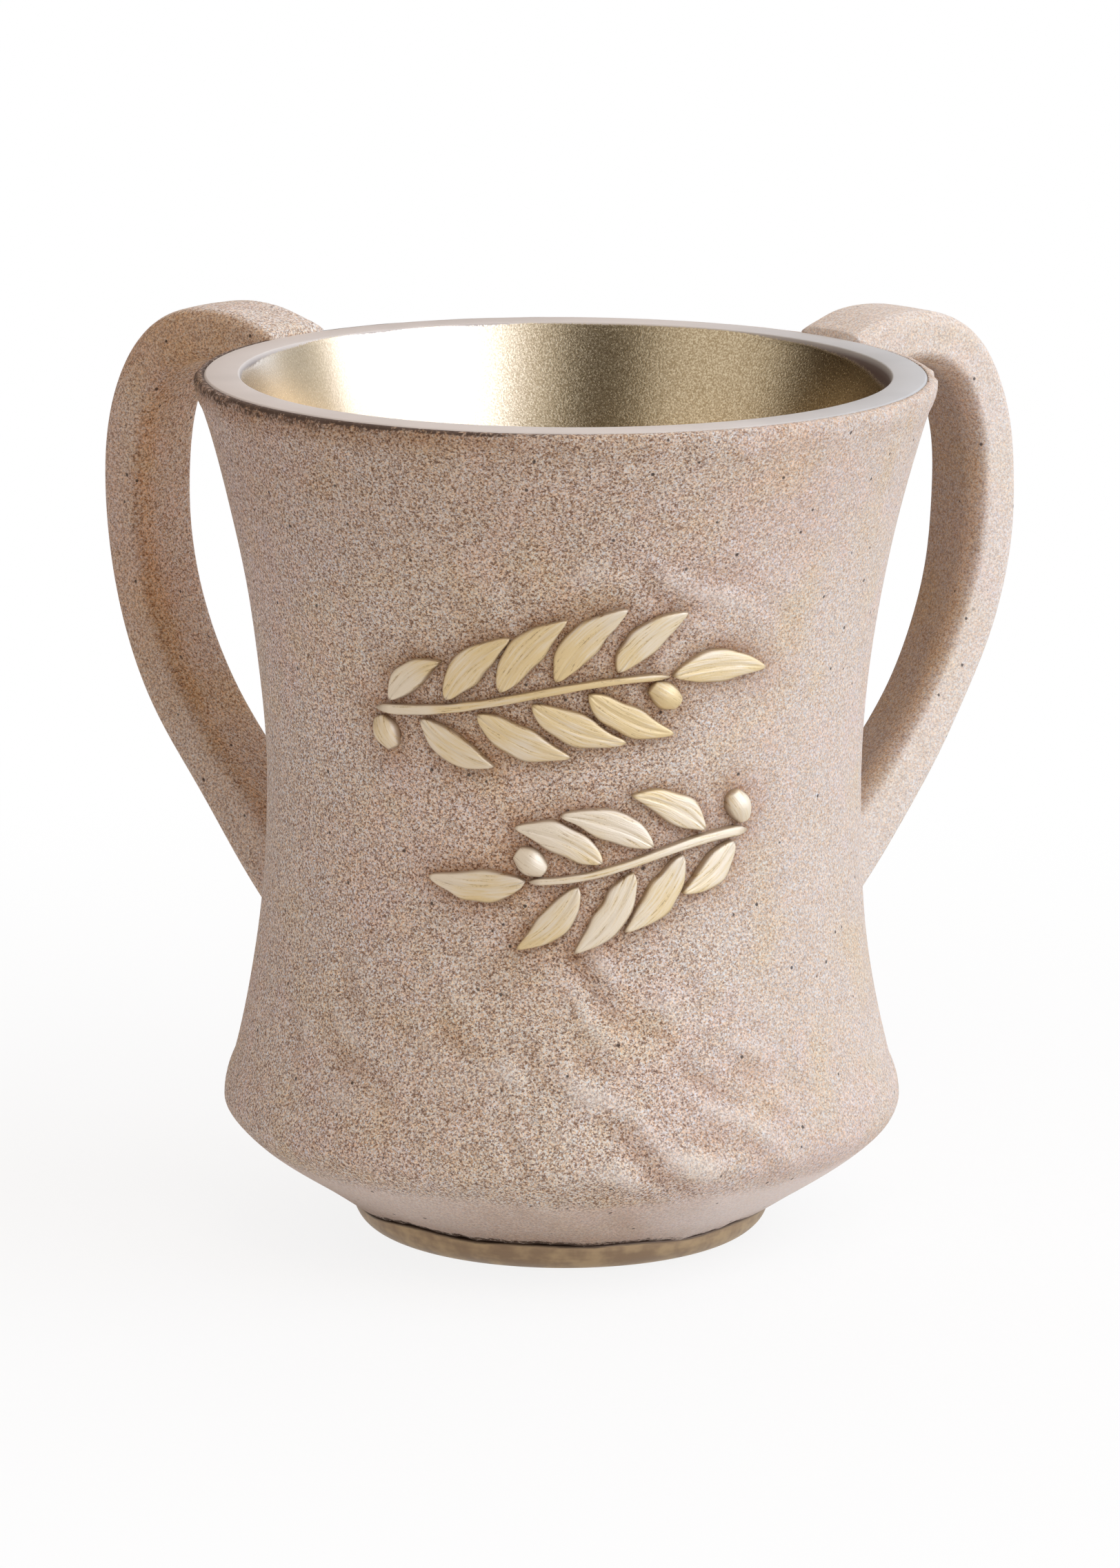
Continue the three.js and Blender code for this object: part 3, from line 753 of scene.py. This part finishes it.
# Masks of the outside: soft steps in height and in the sine of the angle from the front, and bells round
# strokes and the front's middle, added up or the greater of them taken.
def shellMasks(front, across, height, crest, overNeck):
    marks, top, right = shellMarks, cup["rimHeight"], np.sin(front)
    near = strokeDistance(across, height)
    off = np.clip(near, 0, None)
    spray = marks["upperSpray"] * smooth(top - 34, top - 8, height) * smooth(-1, 1, np.cos(front + 0.3))
    spray = spray + marks["lipSpray"] * leftShare(front) * smooth(top - 5.5, top - 1.5, height)
    spray = np.maximum(np.exp(-off / marks["haloWidth"]) * marks["halo"], spray)
    spray += np.clip(-crest, 0, 1) * marks["hollowSpray"] + 0.2 * smooth(9, 5.5, height)
    # painted shade: darker at the top front, where the flare faces down, and under the bowl's front
    shade = marks["upperShade"] * smooth(top - 50, top - 12, height) * smooth(0.7, 0, right)
    shade += marks["bowlShade"] * smooth(20, 12, height) * bell(front, 0.45)
    # painted contact shade: a thin dark line round the edge of each stroke
    edge = marks["strokeEdgeShade"] * bell(off, 0.4) * smooth(-0.6, -0.1, near)
    # a dark band under the rim on the left, darker further left, and a dark line at the lip's corner there
    rim = marks["leftLipDark"] + 0.12 * smooth(-0.4, -0.8, right)
    corner = 0.4 * smooth(top - 0.7, top - 0.35, height) * smooth(-1, -0.75, right)
    rim = leftShare(front) * (rim * smooth(top - 3.2, top - 1, height) + corner)
    # a dark joint at the seam with painted shade in it, lighter on the lit right
    seam = marks["seamGrimeAndShade"] * smooth(1.7, 0.1, overNeck)
    seam *= 1 - 0.45 * smooth(0, 0.6, right)
    warm = marks["warmth"] * bell(front + 0.12, 0.5) + 0 * height
    # painted light: paler on the ripple crests, a painted highlight, and on the bowl's sides, painted bounce
    # light from the floor
    chalk = np.clip(crest - 0.3, 0, 1) * marks["chalk"]
    chalk += marks["chalk"] * smooth(19, 13, height) * smooth(0.2, 0.6, np.abs(right))
    # the grain is flattened on the lit right, painted as bright light would wash it out, and on the bowl
    calm = marks["calmRight"] * smooth(0.1, 0.8, right)
    calm = np.maximum(calm, marks["calmBowl"] * smooth(17, 13, height))
    return {"airbrush": spray, "grime": np.maximum(np.maximum(edge, rim), seam), "shade": shade,
            "warm": warm, "chalk": chalk, "calm": calm}


# The shell turned from its closed outline. The rows by the neck rise and fall with the seam.
def makeShell():
    below, within = shellInside()
    grid = turned(np.vstack([below, outside, within]), angles)
    first, last = len(below), len(below) + len(outside)
    height = outside[:, 1, None] + 0 * angles
    front = (angles + math.pi / 2 + math.pi) % (2 * math.pi) - math.pi
    across = front * cup["waistRadius"] + 0 * height
    crest = ripples(grid[first:last], across, height)
    roughen(grid[first:last], height, crest)
    beside = 1 - smooth(0, 4.5, np.abs(grid[..., 2] - cup["neckHeight"]))
    lift = (seamWave(angles) + seamGap(angles)) * beside
    grid[1:last, :, 2] += lift[1:last]
    overNeck = grid[first:last, :, 2] - lift[first:last] - cup["neckHeight"]
    masks = {
        label: np.pad(values, ((first, len(grid) - last), (0, 0)))
        for label, values in shellMasks(front, across, height, crest, overNeck).items()
    }
    # below the neck the shell is dark, and within the groove and bore darker on the left: a dark joint with
    # painted shade
    masks["grime"][:first] = 1
    masks["grime"][last:] = 0.4 + 0.5 * leftShare(front)
    return makePiece("stoneShell", grid, "stone", ["cup_shell"], masks)


makeShell()
print("shell made")


# Liner

# Lengths in mm, also how deep the gold begins, and how much deeper and softer at the sides
linerShape = {
    "turns": 320, "thickness": 1.6, "flange": 1.6, "edge": 0.35, "innerEdge": 0.3, "floor": 12.5,
    "corner": 14.0, "foot": 37.6, "behind": 7.5, "goldFrom": 0.2, "goldSideFrom": 1.2, "goldSideSoft": 3.5,
}


# The liner's closed outline, and the row from which it is inside
def linerLine():
    shape, top, rim, edge = linerShape, cup["rimHeight"], cup["rimRadius"], linerShape["innerEdge"]
    quarter, inward = np.linspace(0, math.pi / 2, 14), np.linspace(0, math.pi / 2, 8)
    centre, middle = shape["foot"] - shape["corner"], shape["floor"] + shape["corner"]
    wide = shape["corner"] + shape["thickness"]
    heights = np.linspace(cup["waistHeight"], top - shape["flange"], 14)
    outer = np.vstack([
        np.stack([centre + wide * np.sin(quarter), middle - wide * np.cos(quarter)], 1),
        np.stack([wallRadius(heights) - (shape["behind"] - shape["thickness"]), heights], 1),
    ])
    mouth = float(wallRadius(top)) - shape["behind"]
    flange = eased([outer[-1], (rim, top - shape["flange"]), (rim, top - shape["edge"]),
                    (rim - shape["edge"], top), (mouth + edge, top)], 0.06)[1:-1]
    over = np.stack([mouth + edge - edge * np.sin(inward), top - edge + edge * np.cos(inward)], 1)
    depths = np.linspace(top - edge, cup["waistHeight"], 90)[1:]
    inner = np.stack([wallRadius(depths) - shape["behind"], depths], 1)
    tight = shape["corner"]
    well = np.stack([centre + tight * np.cos(quarter), middle - tight * np.sin(quarter)], 1)
    return np.vstack([outer, flange, over, inner, well]), len(outer) + len(flange) + 2


# The liner turned. The gold starts unevenly, and deeper at the sides by the cosine to the eighth power.
def makeLiner():
    shape = linerShape
    line, first = linerLine()
    angles = np.linspace(0, 2 * math.pi, shape["turns"], endpoint=False)
    right = np.cos(angles)
    grid = turned(line, angles)
    inside = (np.arange(len(line)) >= first)[:, None]
    side = np.abs(right) ** 8 * np.where(right > 0, 1, 0.25)
    start = shape["goldFrom"] + shape["goldSideFrom"] * side + unevenness(grid, 14, 8) * (0.06 + 0.3 * side)
    depth = cup["rimHeight"] - grid[..., 2]
    gold = smooth(-0.4, 0.4 + shape["goldSideSoft"] * side, depth - start)
    masks = {"gold": gold * inside, "inside": smooth(0.3, 1.2, depth) * inside,
             "shade": smooth(0.2, 1, right) + 0 * depth, "calm": 0.7 * smooth(0.3, -0.6, right) + 0 * depth}
    return makePiece("goldLiner", grid, "liner", ["cup_liner"], masks)


makeLiner()
print("liner made")


# Foot ring and pad

footShape = {
    "radius": 33.0, "height": 4.94, "rounding": 4.9, "bore": 24.1, "standOff": 0.3, "ease": 0.25,
    "turns": 360,
}
padShape = {"radius": 23.8, "thickness": 1.3, "ease": 0.2}


# The ring turned from its outline, rounded outside, with a top that follows the seam
def makeFootRing():
    ring = footShape
    bore, low, high = ring["bore"], ring["standOff"], ring["height"]
    angles = np.linspace(0, 2 * math.pi, ring["turns"], endpoint=False)
    quarter = np.linspace(0, math.pi / 2, 26)
    inner = ring["radius"] - ring["rounding"]
    side = np.stack([inner + ring["rounding"] * np.sin(quarter), high - (high - low) * np.cos(quarter)], 1)
    ends = eased([side[-1], (bore, high), (bore, low), side[0]], ring["ease"])
    grid = turned(np.vstack([side, ends[1:-1]]), angles)
    grid[..., 2] += seamWave(angles) * smooth(1.5, high, grid[..., 2])
    # darker by the seam at the top: a dark joint with painted shade
    grime = smooth(0.7, 0, np.abs(grid[..., 2] - seamWave(angles) - high)).ravel()
    near = np.arange(grime.size).reshape(grid.shape[:2])
    up, far = np.roll(near, -1, 0), np.roll(near, -1, 1)
    quads = np.stack([near, far, np.roll(up, -1, 1), up], -1).reshape(-1, 4).tolist()
    return pieceOf("goldFoot", "foot", ["foot_ring"], grid.reshape(-1, 3) * 0.001, quads, {"grime": grime})


def makePad():
    radius, thick = padShape["radius"], padShape["thickness"]
    line = eased([(0.5, 0), (radius, 0), (radius, thick), (0.5, thick)], padShape["ease"])
    grid = turned(line, np.linspace(0, 2 * math.pi, 180, endpoint=False))
    return makePiece("feltPad", grid, "pad", ["base_pad"])


makeFootRing()
makePad()
print("foot ring and pad made")


# Handles

# Lengths in mm, angles in degrees, marks 0 to 1. The pulls say how full the centre line's curves are.
handleShape = {
    "width": 13.8, "thickness": 8.2, "corner": 2.2, "crownOfFace": 0.2, "sweep": 40.5, "upperRoot": 128.6,
    "lowerRoot": 36.0, "rootInset": 4.7, "upperAngle": 36, "lowerAngle": 47, "crown": (68.6, 135.75),
    "reach": (88.65, 108.0), "pulls": (0.42, 0.46, 0.67, 0.37, 0.52), "rows": 250, "sink": 0.28,
    "swell": 0.9, "swellOver": 2.2, "rootDepth": 4.0, "waviness": 0.12,
    "bandPlace": 4.8, "bandWidth": 1.6, "bandSpray": 0.35, "innerSprayAndShade": 0.15, "rootShade": 0.3, "chalk": 0.5,
}
# What differs between the two: place and twist in degrees, seed, and marks 0 to 1. The inner and side shade
# are painted shade, and calm flattens the grain and brings painted light, most on the lit right handle.
handles = {
    "rightHandle": {
        "node": "handle_right", "place": handleShape["sweep"], "twist": 12, "seed": 21, "spray": 0.0,
        "innerShade": 0.75, "sideShade": 0, "golden": 0.08, "calm": 0.52,
    },
    "leftHandle": {
        "node": "handle_left", "place": 180 - handleShape["sweep"], "twist": 0, "seed": 31, "spray": 0.4,
        "innerShade": 0.1, "sideShade": 0.25, "golden": 0.75, "calm": 0.2,
    },
}


# The centre line as (radius, height) points: root, crown, widest reach, root, by three Beziers
def handleLine(t):
    shape = handleShape
    pull, crown, reach = shape["pulls"], np.array(shape["crown"]), np.array(shape["reach"])
    upper, lower = [np.array([wallRadius(height) - shape["rootInset"], height])
                    for height in (shape["upperRoot"], shape["lowerRoot"])]
    leave, enter = [np.array([math.cos(angle), math.sin(angle)])
                    for angle in np.radians([shape["upperAngle"], shape["lowerAngle"]])]
    fall = reach[1] - lower[1]
    parts = [
        bezier(t, upper, upper + leave * (crown[0] - upper[0]) * pull[0],
               (crown[0] + (upper[0] - crown[0]) * pull[1], crown[1]), crown),
        bezier(t, crown, (crown[0] + (reach[0] - crown[0]) * pull[2], crown[1]),
               (reach[0], reach[1] + (crown[1] - reach[1]) * pull[2]), reach),
        bezier(t, reach, (reach[0], reach[1] - fall * pull[3]), lower + enter * fall * pull[4], lower),
    ]
    return np.vstack([parts[0], parts[1][1:], parts[2][1:]])


# A rounded rectangle as (across, out) points: quarter circles joined by sides with a slight crown
def strapSection():
    half, thick, corner = handleShape["width"] / 2, handleShape["thickness"] / 2, handleShape["corner"]
    quarter = np.linspace(0, math.pi / 2, 10)
    arcs = []
    for turns, (x, y) in enumerate([(1, 1), (-1, 1), (-1, -1), (1, -1)]):
        way = quarter + turns * math.pi / 2
        arcs.append(np.stack([x * (half - corner) + corner * np.cos(way),
                              y * (thick - corner) + corner * np.sin(way)], 1))
    parts = []
    for k, count in enumerate((10, 6, 10, 6)):
        share = np.linspace(0, 1, count)[1:-1, None]
        parts += [arcs[k], arcs[k][-1] * (1 - share) + arcs[(k + 1) % 4][0] * share]
    section = np.vstack(parts)
    section[:, 1] += handleShape["crownOfFace"] * np.sign(section[:, 1]) * (1 - (section[:, 0] / half) ** 2)
    return section


# Where each line along the strap comes clear of the wall, from its crossing between two samples
def crossing(clear, distance):
    k = np.argmax(clear > 0, axis=0)
    each = np.arange(clear.shape[1])
    low, high = clear[k - 1, each], clear[k, each]
    return distance[k - 1] + (distance[k] - distance[k - 1]) * low / (low - high)


# The section carried along the centre line in the handle's upright plane, and its distance to the nearer
# root. It starts and ends just under the wall, swells by a bell there and is deeper at the lower root.
def strapGrid(section, twist):
    shape = handleShape
    path = handleLine(np.linspace(0, 1, 220))
    steps = np.linalg.norm(np.diff(path, axis=0), axis=1)
    length = np.concatenate([[0], np.cumsum(steps)])
    way = np.gradient(path, length, axis=0)
    way /= np.linalg.norm(way, axis=1, keepdims=True)
    lean = math.radians(twist) * smooth(0.2, 0.7, length / length[-1])
    deeper = shape["rootDepth"] * smooth(0.64, 1, length / length[-1])
    inward = 0.5 - section[:, 1] / shape["thickness"]

    # the point at each distance along the path for each section point
    def along(distance, scale):
        middle = [np.interp(distance, length, path[:, k]) for k in (0, 1)]
        ahead = [np.interp(distance, length, way[:, k]) for k in (0, 1)]
        leaning = np.interp(distance, length, lean)
        across = (section[:, 0] * np.cos(leaning) - section[:, 1] * np.sin(leaning)) * scale
        out = (section[:, 0] * np.sin(leaning) + section[:, 1] * np.cos(leaning)) * scale
        out = out - inward * np.interp(distance, length, deeper)
        return np.stack([middle[0] - ahead[1] * out, across, middle[1] + ahead[0] * out], -1)

    trial = along(length[:, None] + 0 * section[:, 0], 1.0)
    wall = np.interp(trial[..., 2], outside[:, 1], outside[:, 0]) - shape["sink"]
    clear = np.hypot(trial[..., 0], trial[..., 1]) - wall
    start, end = crossing(clear, length), crossing(clear[::-1], length[::-1])
    distance = start + (end - start) * np.linspace(0, 1, shape["rows"])[:, None]
    toRoot = np.minimum(distance - start, end - distance)
    scale = 1 + shape["swell"] / shape["width"] * bell(toRoot, shape["swellOver"])
    return along(distance, scale), toRoot


# Masks of a handle: soft steps and bells in height, in the distance to the roots and across the section.
def handleMasks(handle, section, grid, toRoot, frontward):
    shape, half, thick = handleShape, handleShape["width"] / 2, handleShape["thickness"] / 2
    out, height = section[:, 1], grid[..., 2]
    innerFace = smooth(-thick + 2.2, -thick + 0.3, out)
    band = bell(shape["bandPlace"] - frontward, shape["bandWidth"]) * innerFace
    onTop = smooth(0.6, 0.95, out / thick) * smooth(118, 130, height)
    # the inner faces are sprayed browner, partly brown paint and partly painted shade
    spray = shape["bandSpray"] * band + shape["innerSprayAndShade"] * innerFace
    spray = spray + handle["spray"] * smooth(20, 90, height) * (1 - 0.8 * onTop)
    spray = spray * (1 + 0.2 * unevenness(grid, 30, handle["seed"] + 1))
    frontSide = smooth(half - 1.6, half - 0.6, frontward)
    spray = np.maximum(spray, handle["golden"] * frontSide * smooth(120, 131, height))
    # painted shade on the inner face, and below on the side face of the left handle
    shade = handle["innerShade"] * innerFace * (1 - 0.6 * band)
    return {
        "airbrush": np.clip(spray, 0, 1), "calm": handle["calm"] + 0 * spray,
        # painted shade where the handle meets the wall
        "grime": shape["rootShade"] * bell(toRoot, 0.7),
        "shade": shade + handle["sideShade"] * frontSide * smooth(30, 80, height),
        # painted light on the faces other than the inner one, most on the lit right handle
        "chalk": shape["chalk"] * handle["calm"] * (1 - innerFace) + 0 * spray,
    }


# A handle turned to its place, with a slight unevenness that fades out at the roots
def makeHandle(name, handle):
    section = strapSection()
    flat, toRoot = strapGrid(section, handle["twist"])
    place = math.radians(handle["place"])
    grid = np.stack([flat[..., 0] * math.cos(place) - flat[..., 1] * math.sin(place),
                     flat[..., 0] * math.sin(place) + flat[..., 1] * math.cos(place), flat[..., 2]], -1)
    outward = grid - grid.mean(1, keepdims=True)
    outward /= np.linalg.norm(outward, axis=-1, keepdims=True)
    wave = unevenness(grid, 24, handle["seed"]) * handleShape["waviness"]
    grid += outward * smooth(0, 6, toRoot)[..., None] * wave[..., None]
    frontward = section[:, 0] * math.copysign(1, -math.cos(place))
    masks = handleMasks(handle, section, grid, toRoot, frontward)
    return makePiece(name, grid, "handle", [handle["node"]], masks)


for name, handle in handles.items():
    makeHandle(name, handle)
print("handles made")


# Relief

reliefShape = {
    "rows": 44, "columns": 21, "roundEnd": 0.05, "edgeShare": 0.86, "midrib": 0.2, "midribWidth": 0.1,
    "handWidth": 0.05,
}


# Rise of a stroke at each share s of its length and each top share of its half width: flat with edges
# rounded by the eighth power, or half an ellipse for an olive. A leaf has a groove.
def strokeRise(kind, s, drawnIn, top):
    side, edge = np.abs(top), reliefShape["edgeShare"]
    if kind == "olive":
        swell = np.sin(math.pi * s)
        crown = sprigs["oliveHeight"] * (swell + (1 - swell) * sprigs["oliveEnd"])
        profile = np.sqrt(1 - side**2 * 0.995)
    else:
        crown = np.full_like(s, sprigs["leafHeight"])
        profile = (edge + (1 - edge) * (1 - side**2)) * (1 - side**8) ** 0.25
    raised = crown[:, None] * profile * (0.55 + 0.45 * drawnIn[:, None])
    if kind == "leaf":
        rib = bell(top, reliefShape["midribWidth"]) * smooth(0, 0.2, 1 - s)[:, None]
        raised -= reliefShape["midrib"] * rib
    return raised


# One stroke carried along its line on the wall, with round ends and a slightly uneven width
def makeStroke(name, kind, line, share):
    s = np.linspace(0, 1, reliefShape["rows"])
    end = np.minimum(s, 1 - s) / reliefShape["roundEnd"]
    drawnIn = np.sqrt(np.clip(1 - (1 - np.clip(end, 0.04, 1)) ** 2, 0, 1))
    half = (strokeWidth(kind, s, share) * drawnIn)[:, None]
    top = np.sin(np.linspace(-math.pi / 2, math.pi / 2, reliefShape["columns"]))
    out = np.concatenate([top, top[::-1][1:-1]])
    under = np.full((len(s), len(top) - 2), -sprigs["bury"] - sprigs["standOff"])
    raised = np.hstack([strokeRise(kind, s, drawnIn, top), under])
    middle, way = bezier(s, *line), heading(line, s)
    x, y, wayX, wayY = middle[:, 0, None], middle[:, 1, None], way[:, 0, None], way[:, 1, None]
    places = np.stack([x - wayY * half * out, y + wayX * half * out, 0 * half * out], -1)
    hand = 1 + reliefShape["handWidth"] * unevenness(places, 5, len(name), 12)
    across, height = x - wayY * half * out * hand, y + wayX * half * out * hand
    radius = wallRadius(height) + sprigs["standOff"] + raised
    angle = across / cup["waistRadius"]
    grid = np.stack([radius * np.sin(angle), -radius * np.cos(angle), height], -1)
    reach = float(np.linalg.norm(np.diff(middle, axis=0), axis=1).sum())
    shift = (sum(map(ord, name)) % 97) * 1.7
    uv = np.stack([s[:, None] * reach / 10 + shift + 0 * out, half * out / 10 + shift + 0 * s[:, None]], -1)
    edge = np.hstack([np.tile(smooth(0.8, 1.0, np.abs(top)), (len(s), 1)), np.ones(under.shape)])
    edge = np.maximum(edge, (1 - smooth(0, 1, end))[:, None] * 0.8)
    return makePiece(name, grid, "relief", [name], {"edge": edge}, uv)


for name, kind, line, share in strokes:
    makeStroke(name, kind, line, share)
print("relief made:", len(strokes), "strokes")
